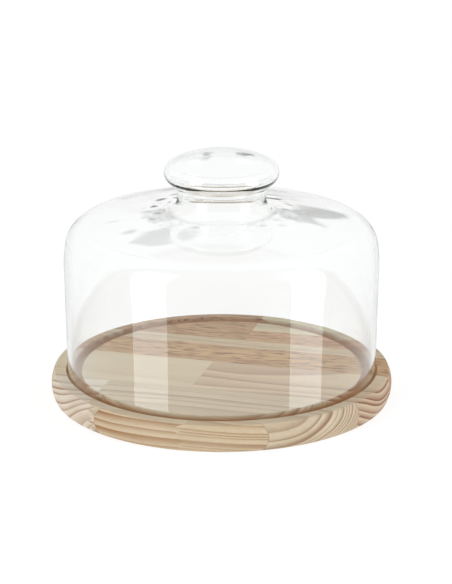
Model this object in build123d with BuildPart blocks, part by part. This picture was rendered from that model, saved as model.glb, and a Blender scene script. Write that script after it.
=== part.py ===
from build123d import *
import math
import os

# A cake stand with a glass cloche: a round board glued up from pine staves, with a turned groove,
# and a blown glass dome whose rim stands in that groove. Millimetres, +Z up, origin on the axis at
# the board's underside.

# ---- board ----
board_diameter = 250.0  # across the belly of the rounded edge
board_thickness = 20.0
edge_bulge = 2.6  # how far the rounded edge swells past the flat faces
edge_ease = 0.5  # arris taken off between the flat faces and the rounded edge
rim_land = 10.7  # wood outside the groove, out to the belly of the edge
groove_width = 11.6
groove_depth = 6.0
groove_root_round = 1.5
groove_lip_round = 0.6

# ---- staves: rows of pine glued side by side, each row finger jointed end to end ----
grain_turn = -15.5  # direction of the grain, degrees from +X
glue_line_shares = (-1.2, -0.860, -0.392, 0.076, 0.488, 1.2)  # across the grain, in board radii
finger_length = 7.0
finger_count = 5  # teeth through the thickness
sliver_joint_share = 0.062  # the end joints, along the grain, in board radii
front_joint_share = -0.560
middle_joint_share = -0.072
rear_joint_share = 0.008
outside_share = 1.2  # anything past the board's edge

# ---- glass dome ----
glass_wall = 2.8
rim_melt_round = 1.3  # fire polished foot of the wall
dome_side_clearance = 1.4  # glass to the groove's outer wall
dome_seat_clearance = 0.1  # glass rim to the groove's floor
dome_draft = 1.1  # degrees: the wall leans outwards as it rises
dome_wall_height = 86.0  # straight part of the wall, above the groove's floor
lower_shoulder_radius = 79.4
lower_shoulder_turn = 12.3  # degrees
upper_shoulder_radius = 17.7
crown_radius = 449.5
neck_root_round = 9.0
inner_root_round = 11.0

# ---- knob, blown hollow in one with the dome ----
knob_wall = 3.4
knob_radius = 41.6
knob_rim_round = 8.0
knob_rim_rise = 26.3  # centre of the knob's rounded rim, above the top of the crown
knob_top_radius = 88.5
neck_radius = 32.2
neck_flare = 45.0  # degrees from the axis
neck_top_round = 10.6

# ---- worked out from the sizes above ----
board_radius = board_diameter / 2
groove_outer_radius = board_radius - rim_land
groove_inner_radius = groove_outer_radius - groove_width
groove_floor = board_thickness - groove_depth
dome_foot_radius = groove_outer_radius - dome_side_clearance
dome_foot = groove_floor + dome_seat_clearance
wall_top = groove_floor + dome_wall_height
glue_lines = [share * board_radius for share in glue_line_shares]

# the dome's skin is a chain of tangent arcs, each given by its centre in the half section
lean = math.radians(dome_draft)
lower_end = math.radians(lower_shoulder_turn - dome_draft)
lower_centre = Vector(
    dome_foot_radius + dome_wall_height * math.tan(lean) - lower_shoulder_radius * math.cos(lean),
    wall_top + lower_shoulder_radius * math.sin(lean),
)
upper_centre = lower_centre + (lower_shoulder_radius - upper_shoulder_radius) * Vector(
    math.cos(lower_end), math.sin(lower_end)
)
upper_end = math.acos(upper_centre.X / (crown_radius - upper_shoulder_radius))
crown_centre = upper_centre - (crown_radius - upper_shoulder_radius) * Vector(
    math.cos(upper_end), math.sin(upper_end)
)
crown_top = crown_centre.Y + crown_radius
knob_rim_centre = Vector(knob_radius - knob_rim_round, crown_top + knob_rim_rise)
knob_rim_end = math.acos(knob_rim_centre.X / (knob_top_radius - knob_rim_round))
knob_top_centre = knob_rim_centre - (knob_top_radius - knob_rim_round) * Vector(
    math.cos(knob_rim_end), math.sin(knob_rim_end)
)


def near(vertices, axis, place, reach=0.5):
    """The vertices that lie at a place along an axis of the section."""
    return vertices.filter_by_position(axis, place - reach, place + reach)


def board_outline():
    """Half section of the board: flat faces, rounded edge, and the groove in the top face."""
    flat_radius = board_radius - edge_bulge
    with BuildSketch() as section:
        with BuildLine():
            Polyline((flat_radius, 0), (0, 0), (0, board_thickness), (flat_radius, board_thickness))
            ThreePointArc(
                (flat_radius, board_thickness),
                (board_radius, board_thickness / 2),
                (flat_radius, 0),
            )
        make_face()
        chamfer(near(section.vertices(), Axis.X, flat_radius), edge_ease)
        with Locations(((groove_inner_radius + groove_outer_radius) / 2, board_thickness)):
            Rectangle(groove_width, 2 * groove_depth, mode=Mode.SUBTRACT)
        walls = near(section.vertices(), Axis.X, groove_inner_radius)
        walls += near(section.vertices(), Axis.X, groove_outer_radius)
        fillet(near(walls, Axis.Y, groove_floor), groove_root_round)
        fillet(near(walls, Axis.Y, board_thickness), groove_lip_round)
    return section


def finger_edge(share, reach):
    """Zigzag end joint, listed from the top face down; it shows on top at this share, and its teeth
    reach along the grain from there."""
    place = share * board_radius
    half_tooth = board_thickness / (2 * finger_count)
    steps = range(2 * finger_count + 1)
    return [(place + reach * (step % 2), board_thickness - step * half_tooth) for step in steps]


def open_edge(share):
    """Straight end of a stave that runs out past the board's edge, from the top face down."""
    return [(share * board_radius, board_thickness), (share * board_radius, 0)]


def make_stave(name, row, left_edge, right_edge):
    """The part of the board between two glue lines and two ends, as one stave."""
    low, high = glue_lines[row], glue_lines[row + 1]
    grain = Vector(1, 0, 0).rotate(Axis.Z, grain_turn)
    across = Vector(0, 1, 0).rotate(Axis.Z, grain_turn)
    with BuildPart() as stave:
        add(board_blank.part)
        with BuildSketch(Plane(origin=across * high, x_dir=grain, z_dir=-across)):
            with BuildLine():
                Polyline(*left_edge, *reversed(right_edge), close=True)
            make_face()
        extrude(amount=high - low, mode=Mode.INTERSECT)
    stave.part.label = name
    export_step(stave.part, f"parts/{name}.step")


os.makedirs("parts", exist_ok=True)

with BuildPart() as board_blank:
    with BuildSketch(Plane.XZ):
        add(board_outline().sketch_local)
    revolve(axis=Axis.Z)

# rows from the front to the back, as the board is seen with its front towards -Y
left_end, right_end = open_edge(-outside_share), open_edge(outside_share)
rows = (
    ("front_sliver", finger_edge(sliver_joint_share, -finger_length)),
    ("front", finger_edge(front_joint_share, finger_length)),
    ("middle", finger_edge(middle_joint_share, finger_length)),
    ("long", None),
    ("rear", finger_edge(rear_joint_share, finger_length)),
)
for number, (row_name, joint) in enumerate(rows):
    if joint is None:
        make_stave(f"{row_name}_stave", number, left_end, right_end)
    else:
        make_stave(f"{row_name}_left_stave", number, left_end, joint)
        make_stave(f"{row_name}_right_stave", number, joint, right_end)


def skin_outline(inset, knob_inset, root_round):
    """Half section of everything inside one skin of the glass, which lies inset from the outer skin
    on the dome and knob_inset from it on the neck and knob."""
    with BuildSketch() as outline:
        with BuildLine():
            lower = CenterArc(
                lower_centre, lower_shoulder_radius - inset, -dome_draft, lower_shoulder_turn
            )
            CenterArc(
                upper_centre,
                upper_shoulder_radius - inset,
                math.degrees(lower_end),
                math.degrees(upper_end - lower_end),
            )
            crown = CenterArc(
                crown_centre, crown_radius - inset, math.degrees(upper_end), 90 - math.degrees(upper_end)
            )
            wall_foot = (lower @ 0).X - ((lower @ 0).Y - dome_foot) * math.tan(lean)
            Polyline(lower @ 0, (wall_foot, dome_foot), (0, dome_foot), crown @ 1)
        make_face()
        with BuildLine():
            rim = CenterArc(
                knob_rim_centre,
                knob_rim_round - knob_inset,
                -neck_flare,
                neck_flare + math.degrees(knob_rim_end),
            )
            top = CenterArc(
                knob_top_centre,
                knob_top_radius - knob_inset,
                math.degrees(knob_rim_end),
                90 - math.degrees(knob_rim_end),
            )
            neck = neck_radius - knob_inset
            neck_top = (rim @ 0).Y - ((rim @ 0).X - neck) / math.tan(math.radians(neck_flare))
            Polyline(rim @ 0, (neck, neck_top), (neck, wall_top), (0, wall_top), top @ 1)
        make_face()
        corners = near(outline.vertices(), Axis.X, neck)
        fillet(near(corners, Axis.Y, neck_top), neck_top_round + knob_inset)
        fillet(near(outline.vertices(), Axis.X, neck).sort_by(Axis.Y)[0], root_round)
    return outline


with BuildPart() as glass_dome:
    with BuildSketch(Plane.XZ) as wall:
        add(skin_outline(0, 0, neck_root_round).sketch_local)
        hollow = skin_outline(glass_wall, knob_wall, inner_root_round)
        add(hollow.sketch_local, mode=Mode.SUBTRACT)
        fillet(near(wall.vertices(), Axis.Y, dome_foot), rim_melt_round)
    revolve(axis=Axis.Z)
glass_dome.part.label = "glass_dome"
export_step(glass_dome.part, "parts/glass_dome.step")
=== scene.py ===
import math
from typing import NamedTuple
import bpy
import numpy as np
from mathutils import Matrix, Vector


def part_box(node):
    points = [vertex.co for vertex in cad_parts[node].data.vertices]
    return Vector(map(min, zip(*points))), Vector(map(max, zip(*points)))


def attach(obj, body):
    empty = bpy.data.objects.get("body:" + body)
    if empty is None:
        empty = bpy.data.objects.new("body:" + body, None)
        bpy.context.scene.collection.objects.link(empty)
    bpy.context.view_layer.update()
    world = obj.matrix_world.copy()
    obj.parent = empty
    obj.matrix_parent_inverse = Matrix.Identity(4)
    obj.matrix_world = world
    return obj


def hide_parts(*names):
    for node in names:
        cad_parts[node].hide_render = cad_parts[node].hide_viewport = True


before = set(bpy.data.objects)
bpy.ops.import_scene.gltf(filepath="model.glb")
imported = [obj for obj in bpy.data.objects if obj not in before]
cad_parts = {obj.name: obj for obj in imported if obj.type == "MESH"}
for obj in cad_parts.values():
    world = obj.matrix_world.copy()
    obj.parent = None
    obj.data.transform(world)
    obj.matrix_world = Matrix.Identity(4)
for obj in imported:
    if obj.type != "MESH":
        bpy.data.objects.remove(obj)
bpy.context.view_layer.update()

# A cake stand with a glass cloche: a round board glued up from pine staves, with a turned groove, and a
# blown glass dome whose rim stands in that groove. Sizes are in millimetres until they reach a mesh or a
# shader, and the front is towards -Y.

MM = 0.001

# ---------------------------------------------------------------- the board's sizes
BOARD_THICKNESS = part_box("long_stave")[1].z / MM
GROOVE_FLOOR = 14.0
GROOVE_RADIUS = 114.5  # just outside the groove's outer wall
GRAIN_TURN = math.radians(-15.5)  # the grain runs along X once it is turned by this much about Z
ROWS = ("front_sliver", "front", "middle", "long", "rear")
GLUE_LINES = (-150.0, -107.5, -49.0, 9.5, 61.0, 150.0)  # the rows' sides, the end ones past the rim
FINGER_COUNT = 5  # teeth of a finger joint through the thickness
JOINTS = {  # where a row's finger joint shows on top, along the grain, and how far its teeth reach
    "front_sliver": (7.75, -7.0),
    "front": (-70.0, 7.0),
    "middle": (-9.0, 7.0),
    "rear": (1.0, 7.0),
}

# ---------------------------------------------------------------- the dome's sizes
# its outer skin is a chain of tangent arcs: wall, two shoulder arcs, crown, neck root, neck, knob
DOME_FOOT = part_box("glass_dome")[0].z / MM
DOME_FOOT_RADIUS = 112.9
GLASS_WALL = 2.8
KNOB_WALL = 3.4
RIM_ROUND = 1.3
DOME_DRAFT = math.radians(1.1)
WALL_HEIGHT = 86.0
LOWER_SHOULDER, LOWER_TURN = 79.4, math.radians(12.3)
UPPER_SHOULDER = 17.7
CROWN = 449.5
NECK, NECK_TOP_ROUND = 32.2, 10.6
OUTER_ROOT_ROUND, INNER_ROOT_ROUND = 9.0, 11.0
NECK_FLARE = math.radians(45.0)
KNOB_RADIUS, KNOB_RIM_ROUND, KNOB_RIM_RISE, KNOB_TOP = 41.6, 8.0, 26.3, 88.5
DOME_SIDES = 256

# the glass is uneven inside the root of the neck: how far out, over what reach, and how high
WAVE_RADIUS, WAVE_REACH, WAVE_HEIGHT = 49.0, 7.0, 0.16
WAVES = ((5, 1 / 2.0, 0.0), (13, -1 / 2.6, 1.0), (19, 1 / 4.0, 2.0))  # how many round, outwards, start


def srgb(code, alpha=1.0):
    """A hex colour such as c8b08a, turned from sRGB to the linear values that shaders take."""
    parts = [int(code[i:i + 2], 16) / 255 for i in (0, 2, 4)]
    linear = [c / 12.92 if c <= 0.04045 else ((c + 0.055) / 1.055) ** 2.4 for c in parts]
    return (*linear, alpha)


def add(tree, kind, inputs=(), **settings):
    """Add one node and set its properties. Its inputs come as a list in their order, or as a dict by
    name or number. Each is a value, a socket to read, or a node, whose first output is then read."""
    node = tree.nodes.new("ShaderNode" + kind)
    for name, value in settings.items():
        setattr(node, name, value)
    for key, value in inputs.items() if isinstance(inputs, dict) else enumerate(inputs):
        if isinstance(value, bpy.types.Node):
            value = value.outputs[0]
        if isinstance(value, bpy.types.NodeSocket):
            tree.links.new(value, node.inputs[key])
        else:
            node.inputs[key].default_value = value
    return node


def new_material(name):
    """An empty node material, its tree and its output node."""
    material = bpy.data.materials.new(name)
    material.use_nodes = True
    material.node_tree.nodes.clear()
    return material, material.node_tree, add(material.node_tree, "OutputMaterial")


def link(thing):
    """Put a new object into the scene."""
    bpy.context.scene.collection.objects.link(thing)
    return thing


# ---------------------------------------------------------------- the glass dome
def on_circle(centre, radius, angle):
    """The point centre + radius (cos angle, sin angle)."""
    return np.array([centre[0] + radius * math.cos(angle), centre[1] + radius * math.sin(angle)])


def arc(centre, radius, start, end, steps):
    """Points on a circle, centre + radius (cos a, sin a), with a running evenly from start to end."""
    a = np.linspace(start, end, steps)
    return np.stack([centre[0] + radius * np.cos(a), centre[1] + radius * np.sin(a)], 1)


def skin(inset, knob_inset, root_round):
    """Profile (r, z) from the foot of the wall to the top of the knob, held back from the outer skin
    by inset on the dome and by knob_inset on the neck and knob. Each arc starts where the one before
    ends, in the same direction: a circle tangent to another inside it has its centre on the line
    through the touching point, nearer by the difference of the radii. An arc's last number is how
    many points it gets."""
    lower_end = LOWER_TURN - DOME_DRAFT
    lower = np.array([
        DOME_FOOT_RADIUS + WALL_HEIGHT * math.tan(DOME_DRAFT) - LOWER_SHOULDER * math.cos(DOME_DRAFT),
        GROOVE_FLOOR + WALL_HEIGHT + LOWER_SHOULDER * math.sin(DOME_DRAFT),
    ])
    upper = on_circle(lower, LOWER_SHOULDER - UPPER_SHOULDER, lower_end)
    upper_end = math.acos(upper[0] / (CROWN - UPPER_SHOULDER))
    crown = on_circle(upper, CROWN - UPPER_SHOULDER, upper_end + math.pi)

    # the root of the neck rolls on the crown from outside and touches the neck's side
    neck = NECK - knob_inset
    rolled = CROWN - inset + root_round
    root = (neck + root_round, crown[1] + math.sqrt(rolled ** 2 - (neck + root_round) ** 2))
    root_angle = math.atan2(root[1] - crown[1], root[0])

    rim = np.array([KNOB_RADIUS - KNOB_RIM_ROUND, crown[1] + CROWN + KNOB_RIM_RISE])
    rim_end = math.acos(rim[0] / (KNOB_TOP - KNOB_RIM_ROUND))
    top = on_circle(rim, KNOB_TOP - KNOB_RIM_ROUND, rim_end + math.pi)
    flare_top = on_circle(rim, KNOB_RIM_ROUND - knob_inset, -NECK_FLARE)
    corner = flare_top[1] - (flare_top[0] - neck) / math.tan(NECK_FLARE)
    flare_round = NECK_TOP_ROUND + knob_inset
    flare = (neck + flare_round, corner - flare_round * math.tan(NECK_FLARE / 2))

    wall_end = on_circle(lower, LOWER_SHOULDER - inset, -DOME_DRAFT)
    foot = DOME_FOOT + RIM_ROUND
    wall_start = [wall_end[0] - (wall_end[1] - foot) * math.tan(DOME_DRAFT), foot]
    return np.concatenate([
        np.linspace(wall_start, wall_end, 8)[:-1],
        arc(lower, LOWER_SHOULDER - inset, -DOME_DRAFT, lower_end, 10)[:-1],
        arc(upper, UPPER_SHOULDER - inset, lower_end, upper_end, 28)[:-1],
        arc(crown, CROWN - inset, upper_end, root_angle, 40)[:-1],
        arc(root, root_round, root_angle + math.pi, math.pi, 16),
        arc(flare, flare_round, math.pi, math.pi - NECK_FLARE, 12),
        arc(rim, KNOB_RIM_ROUND - knob_inset, -NECK_FLARE, rim_end, 24)[:-1],
        arc(top, KNOB_TOP - knob_inset, rim_end, math.pi / 2, 22),
    ])


def root_waves(r, t):
    """Height added to the inside of the crown round the root of the neck: the mean of three waves
    that run round the axis and outwards at once, under a bell over the radius, so the glass is
    uneven only where it was gathered into the neck."""
    bell = np.exp(-((r - WAVE_RADIUS) / WAVE_REACH) ** 2)
    waves = sum(np.sin(around * t + outwards * r + start) for around, outwards, start in WAVES)
    return WAVE_HEIGHT * bell * waves / len(WAVES)


def blown_dome():
    """The outer skin, the rounded rim and the inner skin as one closed profile, turned about Z: point
    (r, z) goes to (r cos t, r sin t, z) at each angle t. The profile starts and ends on the axis,
    where all the copies meet in one point."""
    outer = skin(0, 0, OUTER_ROOT_ROUND)
    inner = skin(GLASS_WALL, KNOB_WALL, INNER_ROOT_ROUND)
    rim_outer = arc((outer[0, 0] - RIM_ROUND, outer[0, 1]), RIM_ROUND, 0, -math.pi / 2, 8)
    rim_inner = arc((inner[0, 0] + RIM_ROUND, inner[0, 1]), RIM_ROUND, -math.pi / 2, -math.pi, 8)
    profile = np.concatenate([outer[::-1], rim_outer[1:], rim_inner[:-1], inner])

    # only the inner skin is uneven, and only above its wall
    uneven = np.arange(len(profile)) >= len(profile) - len(inner)
    uneven &= profile[:, 1] > GROOVE_FLOOR + WALL_HEIGHT

    t = np.linspace(0, 2 * math.pi, DOME_SIDES, endpoint=False)
    r, z = profile[1:-1, :1], profile[1:-1, 1:]
    z = z + root_waves(r, t) * uneven[1:-1, None]
    points = MM * np.stack([r * np.cos(t), r * np.sin(t), z], -1).reshape(-1, 3)
    poles = [[0, 0, MM * profile[0, 1]], [0, 0, MM * profile[-1, 1]]]
    start_pole, end_pole = len(points), len(points) + 1

    side = np.arange(DOME_SIDES)
    next_side = (side + 1) % DOME_SIDES
    ring = np.arange(len(r) - 1)[:, None] * DOME_SIDES
    next_ring = ring + DOME_SIDES
    quads = np.stack([ring + side, next_ring + side, next_ring + next_side, ring + next_side], -1)
    last_ring = ring[-1, 0] + DOME_SIDES
    start_cap = np.stack([np.full(DOME_SIDES, start_pole), side, next_side], 1)
    end_cap = np.stack([last_ring + side, np.full(DOME_SIDES, end_pole), last_ring + next_side], 1)

    mesh = bpy.data.meshes.new("glass_dome_blown")
    faces = quads.reshape(-1, 4).tolist() + start_cap.tolist() + end_cap.tolist()
    mesh.from_pydata(points.tolist() + poles, [], faces)
    mesh.polygons.foreach_set("use_smooth", np.ones(len(mesh.polygons), bool))
    mesh.validate()
    mesh.update()
    return link(bpy.data.objects.new("glass_dome_blown", mesh))


SODA_LIME_IOR = 1.52
RIPPLE = 45.0  # from one swell of the skin to the next
RIPPLE_DEPTH, RIPPLE_STRENGTH = 0.4, 0.15
RIPPLE_GROWS = (120.0, 145.0, 1.0, 5.0)  # between these heights the swell grows from 1 to 5 times
GLASS_TINT, GLASS_DENSITY = "d2e6dc", 16.0  # what a long way through the glass takes out, per metre


def clear_glass():
    """Soda-lime glass, blown and fire polished: clear in the wall, faint grey-green where the eye
    looks along it, with slow ripples from the blowing that bend the reflections."""
    material, tree, output = new_material("soda_lime_glass_blown")
    place = add(tree, "TexCoord").outputs["Object"]
    ripple = add(tree, "TexNoise", {"Vector": place, "Scale": 1 / (RIPPLE * MM), "Detail": 1.0})
    height = add(tree, "SeparateXYZ", [place]).outputs[2]
    start, end, small, large = RIPPLE_GROWS
    amount = add(tree, "MapRange", [height, start * MM, end * MM, small, large])
    swell = add(tree, "Math", [ripple, amount], operation="MULTIPLY")
    bump = add(tree, "Bump", {"Height": swell, "Strength": RIPPLE_STRENGTH, "Distance": RIPPLE_DEPTH * MM})
    glass = add(tree, "BsdfPrincipled", {
        "Base Color": srgb("ffffff"), "Roughness": 0.0, "IOR": SODA_LIME_IOR,
        "Transmission Weight": 1.0, "Normal": bump,
    })
    absorb = add(tree, "VolumeAbsorption", {"Color": srgb(GLASS_TINT), "Density": GLASS_DENSITY})
    tree.links.new(glass.outputs[0], output.inputs["Surface"])
    tree.links.new(absorb.outputs[0], output.inputs["Volume"])
    return material


dome = blown_dome()
dome.data.materials.append(clear_glass())
dome.visible_shadow = False
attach(dome, "dome")
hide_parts("glass_dome")


# ---------------------------------------------------------------- the pine board
class Wood(NamedTuple):
    """What sets one stave's wood apart from the next one's."""
    pale: str  # earlywood
    dark: str  # latewood
    pith: tuple  # where the middle of the tree was, across the grain and in height
    first_ring: float  # radius of the first year's ring
    narrow: float  # how narrow the latewood is within its year
    contrast: float  # how much the rings stand out
    flecks: float  # how much the resin flecks show in the heartwood
    tighten: float = 1.0  # above 1 the rings get narrower outwards
    heart: float = 0.0  # radius of the heartwood
    heart_tint: str = "b99870"  # earlywood in the heartwood


WOODS = {
    "front_sliver_left_stave": Wood("d2c0a2", "946838", (-130, -63), 5.5, 1.5, 1.7, 0.15),
    "front_sliver_right_stave": Wood("d2bfa0", "8e653a", (-134, -63), 3.1, 1.7, 1.5, 0.15),
    "front_left_stave": Wood("ddd2bf", "8e6238", (-34, 88), 5.2, 2.8, 1.3, 0.1),
    "front_right_stave": Wood("d2c2a6", "835c36", (-113.6, 55.4), 40.7, 3.0, 1.2, 0.15, tighten=3.63),
    "middle_left_stave": Wood("ccbda1", "b0906a", (20, -140), 14.0, 2.0, 0.8, 0.1),
    "middle_right_stave": Wood("d2bfa0", "7c4526", (15.6, 163), 4.9, 1.5, 1.1, 0.15),
    "long_stave": Wood("c6b493", "7f573a", (-40, -60), 7.6, 3.0, 0.8, 0.55,
                       heart=118.9, heart_tint="c09c6e"),
    "rear_left_stave": Wood("c2ac88", "7c5236", (160, -70), 6.5, 3.0, 1.0, 0.5,
                            heart=500, heart_tint="b79063"),
    "rear_right_stave": Wood("c6ba98", "8a6244", (10, -60), 9.0, 3.0, 0.7, 0.45,
                             heart=110, heart_tint="bb936a"),
}

# cells of the patterns: along the grain, across it, and through the thickness
WANDER_CELL = (150.0, 45.0, 45.0)
TONE_CELL = (110.0, 16.0, 16.0)
FIBRE_CELL = (16.0, 0.5, 0.5)
FLECK_CELL = (13.0, 1.7, 1.7)  # the real ones are a third as wide, too fine to show
FLECK_RANGE = (-5.0, 3.2)  # below 0 there is no fleck, and above it the higher the darker
NOISE_MIDDLE = (0.3, 0.7)  # most of the noise lies between these
WANDER = 5.0  # how far the pith line strays sideways

# the shares of a darker tint, from 0 to 1
TONE_SHARE = 0.2
STREAK_SHARE = 0.16
# painted shade in the groove, standing in for the shadow that the shadowless glass does not cast
GROOVE_SHADE_SHARE = 0.8
GLUE_SHARE = 0.25
SAP_FLECKS = 0.2  # of the heartwood's

RESIN_BROWN = "6e4425"
# the brown of the groove's painted shade
GROOVE_SHADE_BROWN = "a06a36"
GLUE_BROWN = "6b4a2c"

# the rings, in years
UNEVEN_SHARE, UNEVEN_STEP = 1.2, 0.6  # how much the ring widths vary, and how fast
YEAR_END = 0.9  # from here on the latewood jumps back to pale, down to the share after it
LATE_LEFT = 0.1
WEAKEST_YEAR = 0.6  # its latewood, of the strongest year's
FACE_CONTRAST = 0.6  # the rings' contrast along the fibres, of that stave's own

HEART_EDGE = 0.8  # half width of the change from heartwood to sapwood
GLUE_LINE = (0.08, 0.35)  # solid and faded half width of a glued joint
GROOVE_FADE = 0.5  # over this much radius the painted shade in the groove ends
GROOVE_SHADE_HEIGHTS = (16.0, 19.8)  # the heights where the groove's painted shade is full, and where it ends
FIBRE_DEPTH, FIBRE_STRENGTH = 0.05, 0.3
WOOD_ROUGHNESS = 0.5


def grain_noise(tree, grain, cell, seed, detail):
    """Noise whose cells are this long in millimetres. The seed moves it, so no two staves match."""
    scales = [1 / (side * MM) for side in cell]
    place = add(tree, "VectorMath", [grain, scales, seed], operation="MULTIPLY_ADD")
    return add(tree, "TexNoise", {"Vector": place, "Scale": 1.0, "Detail": detail})


def grain_pattern(tree, grain, cell, seed, detail, low, high):
    """Such noise with the middle of its range stretched to run from low to high."""
    noise = grain_noise(tree, grain, cell, seed, detail)
    return add(tree, "MapRange", [noise, *NOISE_MIDDLE, low, high])


def pith_distance(tree, grain, pith, seed):
    """Distance from the pith, a line along the grain that strays sideways as the tree grew."""
    stray = grain_noise(tree, grain, WANDER_CELL, (3.7, *seed), 1.0).outputs["Color"]
    reach = (0, 2 * WANDER * MM, 2 * WANDER * MM)
    strayed = add(tree, "VectorMath", [stray, reach, grain], operation="MULTIPLY_ADD")
    middle = (0, (pith[0] + WANDER) * MM, (pith[1] + WANDER) * MM)
    from_pith = add(tree, "VectorMath", [strayed, middle], operation="SUBTRACT")
    sideways = add(tree, "VectorMath", [from_pith, (0, 1, 1)], operation="MULTIPLY")
    return add(tree, "VectorMath", [sideways], operation="LENGTH").outputs["Value"]


def latewood(tree, distance, wood, normal):
    """How much latewood shows. The age in years is (distance / first ring) to the power tighten, made
    uneven. In each year the latewood grows as season to the power narrow, then jumps back to pale.
    Years differ, and where the surface cuts across the fibres the rings stand out more."""
    ratio = add(tree, "Math", [distance, wood.first_ring * MM], operation="DIVIDE")
    age = add(tree, "Math", [ratio, wood.tighten], operation="POWER")
    slow = add(tree, "Math", [age, UNEVEN_STEP], operation="MULTIPLY")
    uneven = add(tree, "TexNoise", {"W": slow, "Scale": 1.0, "Detail": 0.0}, noise_dimensions="1D")
    age = add(tree, "Math", [uneven, UNEVEN_SHARE, age], operation="MULTIPLY_ADD")
    season = add(tree, "Math", [age], operation="FRACT")
    year = add(tree, "Math", [age], operation="FLOOR")

    late = add(tree, "Math", [season, wood.narrow], operation="POWER")
    fall = [season, YEAR_END, 1.0, 1.0, LATE_LEFT]
    jump = add(tree, "MapRange", fall, interpolation_type="SMOOTHSTEP")
    luck = add(tree, "TexWhiteNoise", {"W": year}, noise_dimensions="1D").outputs["Value"]
    strength = add(tree, "Math", [luck, 1 - WEAKEST_YEAR, WEAKEST_YEAR], operation="MULTIPLY_ADD")
    along = (math.cos(GRAIN_TURN), math.sin(GRAIN_TURN), 0)
    facing = add(tree, "VectorMath", [normal, along], operation="DOT_PRODUCT").outputs["Value"]
    end_grain = add(tree, "Math", [facing, facing], operation="MULTIPLY")
    contrast = [end_grain, wood.contrast, FACE_CONTRAST * wood.contrast]
    contrast = add(tree, "Math", contrast, operation="MULTIPLY_ADD")
    for share in (jump, strength, contrast):
        late = add(tree, "Math", [late, share], operation="MULTIPLY")
    return late


def groove_painted_shade(tree, grain, height):
    """How much painted shade darkens the groove, in place of the shadow that its walls and the glass rim
    would cast there: everything inside the groove's outer wall and below the top face."""
    flat = add(tree, "VectorMath", [grain, (1, 1, 0)], operation="MULTIPLY")
    radius = add(tree, "VectorMath", [flat], operation="LENGTH").outputs["Value"]
    wall = (GROOVE_RADIUS * MM, (GROOVE_RADIUS + GROOVE_FADE) * MM)
    inside = add(tree, "MapRange", [radius, *wall, 1.0, 0.0])
    full, none = GROOVE_SHADE_HEIGHTS
    rise = [height, full * MM, none * MM, GROOVE_SHADE_SHARE, 0.0]
    deep = add(tree, "MapRange", rise, interpolation_type="SMOOTHSTEP")
    return add(tree, "Math", [inside, deep], operation="MULTIPLY")


def glue_hairline(tree, along, across, height, row):
    """How much of the glue shows: a hairline along the row's two sides, and one down the teeth of its
    finger joint, whose place swings evenly to and fro from tooth to tooth."""
    low, high = GLUE_LINES[ROWS.index(row):][:2]
    off_middle = add(tree, "Math", [across, (high + low) / 2 * MM], operation="SUBTRACT")
    off_middle = add(tree, "Math", [off_middle], operation="ABSOLUTE")
    nearest = add(tree, "Math", [(high - low) / 2 * MM, off_middle], operation="SUBTRACT")
    if row in JOINTS:
        place, reach = JOINTS[row]
        depth = add(tree, "Math", [BOARD_THICKNESS * MM, height], operation="SUBTRACT")
        half_tooth = BOARD_THICKNESS / (2 * FINGER_COUNT)
        steps = add(tree, "Math", [depth, half_tooth * MM], operation="DIVIDE")
        swing = add(tree, "Math", [steps, 1.0], operation="PINGPONG")
        teeth = add(tree, "Math", [swing, reach * MM, place * MM], operation="MULTIPLY_ADD")
        to_teeth = add(tree, "Math", [along, teeth], operation="SUBTRACT")
        to_teeth = add(tree, "Math", [to_teeth], operation="ABSOLUTE")
        nearest = add(tree, "Math", [nearest, to_teeth], operation="MINIMUM")
    solid, faded = GLUE_LINE
    fade = [nearest, solid * MM, faded * MM, GLUE_SHARE, 0.0]
    return add(tree, "MapRange", fade, interpolation_type="SMOOTHSTEP")


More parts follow.
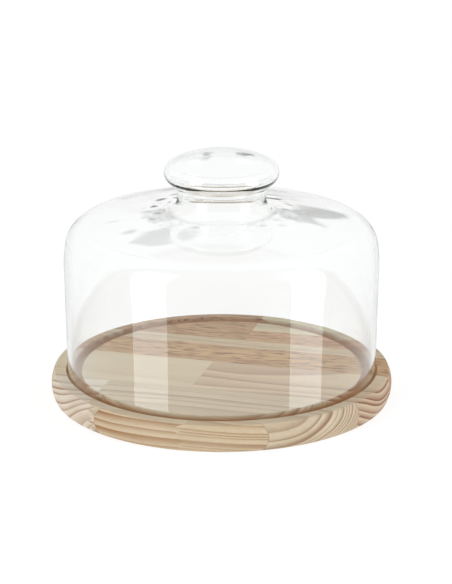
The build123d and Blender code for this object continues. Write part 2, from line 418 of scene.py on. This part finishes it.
def pine(name, row, wood):
    """Pine, planed, sanded and thinly oiled. The eye sees pale earlywood that darkens slowly into
    brown latewood and jumps back to pale at each year's edge, fine streaks and short flecks along
    the grain, and hairlines where the staves are glued."""
    material, tree, output = new_material(name)
    where = add(tree, "TexCoord").outputs
    turned = {"Vector": where["Object"], "Rotation": (0, 0, -GRAIN_TURN)}
    grain = add(tree, "Mapping", turned, vector_type="POINT").outputs[0]
    along, across, height = add(tree, "SeparateXYZ", [grain]).outputs
    seed = (ROWS.index(row), len(name))

    # the first number of each pattern's seed keeps it apart from the others in the same stave
    distance = pith_distance(tree, grain, wood.pith, seed)
    tone = grain_pattern(tree, grain, TONE_CELL, (8.1, *seed), 2.0, 0.0, TONE_SHARE)
    fibre = grain_pattern(tree, grain, FIBRE_CELL, (1.3, *seed), 3.0, 0.0, 1.0)
    streaks = add(tree, "Math", [fibre, STREAK_SHARE], operation="MULTIPLY")

    # the sapwood round the heartwood is paler and has fewer resin flecks
    edge = ((wood.heart - HEART_EDGE) * MM, (wood.heart + HEART_EDGE) * MM)
    sap = add(tree, "MapRange", [distance, *edge], interpolation_type="SMOOTHSTEP")
    flecks = grain_pattern(tree, grain, FLECK_CELL, (5.9, *seed), 2.0, *FLECK_RANGE)
    flecks = add(tree, "Math", [flecks, 0.0], operation="MAXIMUM")
    resin = [sap, (SAP_FLECKS - 1) * wood.flecks, wood.flecks]
    resin = add(tree, "Math", resin, operation="MULTIPLY_ADD")
    flecks = add(tree, "Math", [flecks, resin], operation="MULTIPLY")

    layers = (
        (sap, wood.pale),
        (tone, wood.dark),
        (latewood(tree, distance, wood, where["Normal"]), wood.dark),
        (streaks, wood.dark),
        (flecks, RESIN_BROWN),
        # painted shade: the groove is darkened where its walls and the shadowless glass would shade it
        (groove_painted_shade(tree, grain, height), GROOVE_SHADE_BROWN),
        (glue_hairline(tree, along, across, height, row), GLUE_BROWN),
    )
    colour = srgb(wood.heart_tint)
    for amount, tint in layers:
        mix = {"Factor": amount, 6: colour, 7: srgb(tint)}
        colour = add(tree, "Mix", mix, data_type="RGBA").outputs[2]
    raised = {"Height": fibre, "Strength": FIBRE_STRENGTH, "Distance": FIBRE_DEPTH * MM}
    bump = add(tree, "Bump", raised)
    planed = {"Base Color": colour, "Roughness": WOOD_ROUGHNESS, "Normal": bump}
    board = add(tree, "BsdfPrincipled", planed)
    tree.links.new(board.outputs[0], output.inputs["Surface"])
    return material


for stave, wood in WOODS.items():
    row = stave.removesuffix("_stave").removesuffix("_left").removesuffix("_right")
    finish = pine("pine_planed_oiled_" + stave, row, wood)
    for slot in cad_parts[stave].material_slots:
        slot.material = finish


# ---------------------------------------------------------------- studio, in metres
FLOOR_HALF = 6.0
FLOOR_HEIGHT = -0.0004  # just clear of the board's underside
FLOOR_GLOW = 0.82
SOFTBOXES = (("left", -52), ("right", 63))  # azimuth from the front, degrees
SOFTBOX_DISTANCE, SOFTBOX_RAISED = 1.6, 0.5
SOFTBOX_ANGLE = math.radians(27)  # how wide one looks from the dome
SOFTBOX_HEIGHT = 2.6
SOFTBOX_TINT = (0.94, 0.98, 1.02)
SOFTBOX_RADIANCE = 3.4
WORLD_SEEN = 1.0  # behind the object
WORLD_ABOVE = 0.97  # what the glass sees above the horizon
WORLD_BELOW = (-0.6, 0.3, 0.75, 0.9)  # and below it: from this y to that, from dim to bright
HORIZON = 0.02  # half height of the change between them
WORLD_DULL = 0.55  # what lights the wood, inside the dome and outside it
# dark things in the room that the crown mirrors: azimuth and height, their halves, and how bright
DARK_PLACES = ((-1.6, 26, 1.6, 4.0, 0.05), (-3.0, 35.5, 2.5, 2.2, 0.1), (10.8, 22.5, 2.0, 5.0, 0.05))
DARK_EDGE = (0.7, 1.3)  # each fades out between these shares of its half size
RAGGED_SCALE, RAGGED = 14.0, (0.14, 0.2)  # how finely and how far their outlines are bent, in radians


def white_floor():
    """A wide matt sheet. Its paint is mid grey, and its own glow brings it up to the background's white,
    so that the lamps and the shadows show on it only faintly."""
    h, z = FLOOR_HALF, FLOOR_HEIGHT
    mesh = bpy.data.meshes.new("floor")
    mesh.from_pydata([(-h, -h, z), (h, -h, z), (h, h, z), (-h, h, z)], [], [(0, 1, 2, 3)])
    floor = link(bpy.data.objects.new("floor", mesh))
    material, tree, output = new_material("floor_white_paint")
    paint = add(tree, "BsdfPrincipled", {
        "Base Color": srgb("808080"), "Roughness": 0.9,
        "Emission Color": (1, 1, 1, 1), "Emission Strength": FLOOR_GLOW,
    })
    tree.links.new(paint.outputs[0], output.inputs["Surface"])
    floor.data.materials.append(material)
    floor.visible_glossy = False


def white_room():
    """A white room with a few dark things in it. The glass sees it dimmer below the horizon, most of
    all on the camera's side. Dull surfaces see one even grey, and the eye sees plain white."""
    world = bpy.data.worlds.new("studio")
    bpy.context.scene.world = world
    world.use_nodes = True
    tree = world.node_tree
    tree.nodes.clear()
    output = add(tree, "OutputWorld")
    towards = add(tree, "TexCoord").outputs["Generated"]
    x, y, z = add(tree, "SeparateXYZ", [towards]).outputs
    below = add(tree, "MapRange", [y, *WORLD_BELOW], interpolation_type="SMOOTHSTEP")
    horizon = [z, -HORIZON, HORIZON, below, WORLD_ABOVE]
    shade = add(tree, "MapRange", horizon, interpolation_type="SMOOTHSTEP")

    azimuth = add(tree, "Math", [x, y], operation="ARCTAN2")
    height = add(tree, "Math", [z], operation="ARCSINE")
    ragged = add(tree, "TexNoise", {"Vector": towards, "Scale": RAGGED_SCALE, "Detail": 1.0})
    bends = add(tree, "SeparateXYZ", [ragged.outputs["Color"]]).outputs
    azimuth, height = [
        add(tree, "Math", [bend, amount, angle], operation="MULTIPLY_ADD")
        for bend, amount, angle in zip(bends, RAGGED, (azimuth, height))
    ]
    for place, rise, wide, tall, dark in DARK_PLACES:
        spans = []
        for angle, middle, half in ((azimuth, place, wide), (height, rise, tall)):
            off = add(tree, "Math", [angle, math.radians(middle)], operation="SUBTRACT")
            off = add(tree, "Math", [off], operation="ABSOLUTE")
            edge = [math.radians(half) * share for share in DARK_EDGE]
            fade = [off, *edge, 1.0, 0.0]
            spans.append(add(tree, "MapRange", fade, interpolation_type="SMOOTHSTEP"))
        both = add(tree, "Math", spans, operation="MULTIPLY")
        shade = add(tree, "Mix", {0: both, 2: shade, 3: dark})

    path = add(tree, "LightPath").outputs
    seen = add(tree, "Mix", {0: path["Is Camera Ray"], 2: shade, 3: WORLD_SEEN})
    dull = add(tree, "Math", [path["Diffuse Depth"], 1.0], operation="MINIMUM")
    seen = add(tree, "Mix", {0: dull, 2: seen, 3: WORLD_DULL})
    back = add(tree, "Background", {"Color": (1, 1, 1, 1), "Strength": seen})
    tree.links.new(back.outputs[0], output.inputs["Surface"])


def softbox(name, azimuth):
    """A tall rectangle of light that faces the object. The glass mirrors it, but the camera does not see
    it directly."""
    light = bpy.data.lights.new("softbox_" + name, "AREA")
    light.shape = "RECTANGLE"
    light.size = 2 * SOFTBOX_DISTANCE * math.tan(SOFTBOX_ANGLE / 2)
    light.size_y = SOFTBOX_HEIGHT
    light.color = SOFTBOX_TINT
    light.energy = SOFTBOX_RADIANCE * math.pi * light.size * light.size_y
    lamp = link(bpy.data.objects.new("softbox_" + name, light))
    a = math.radians(azimuth)
    lamp.location = (SOFTBOX_DISTANCE * math.sin(a), -SOFTBOX_DISTANCE * math.cos(a), SOFTBOX_RAISED)
    lamp.rotation_euler = (math.radians(90), 0, a)
    lamp.visible_camera = False


CAMERA_DISTANCE = 2.0
CAMERA_RISE = math.radians(20.244)  # above the board, seen from its middle
CAMERA_DOWN = math.radians(18.142)  # how far it looks down, to 77 mm above the board's underside
CAMERA_ASIDE = math.radians(-0.0985)
SENSOR_WIDTH, FOCAL_LENGTH = 36.0, 166.9  # millimetres


def camera():
    """A long lens in front of the board and a little above it."""
    lens = bpy.data.cameras.new("camera")
    lens.sensor_width = SENSOR_WIDTH
    lens.lens = FOCAL_LENGTH
    eye = link(bpy.data.objects.new("camera", lens))
    eye.location = (0, -CAMERA_DISTANCE * math.cos(CAMERA_RISE), CAMERA_DISTANCE * math.sin(CAMERA_RISE))
    eye.rotation_euler = (math.radians(90) - CAMERA_DOWN, 0, CAMERA_ASIDE)
    bpy.context.scene.camera = eye


white_floor()
white_room()
for side_name, side_azimuth in SOFTBOXES:
    softbox(side_name, side_azimuth)
camera()
bpy.context.scene.view_settings.view_transform = "Standard"
bpy.context.scene.cycles.transmission_bounces = 24
bpy.context.scene.cycles.max_bounces = 32
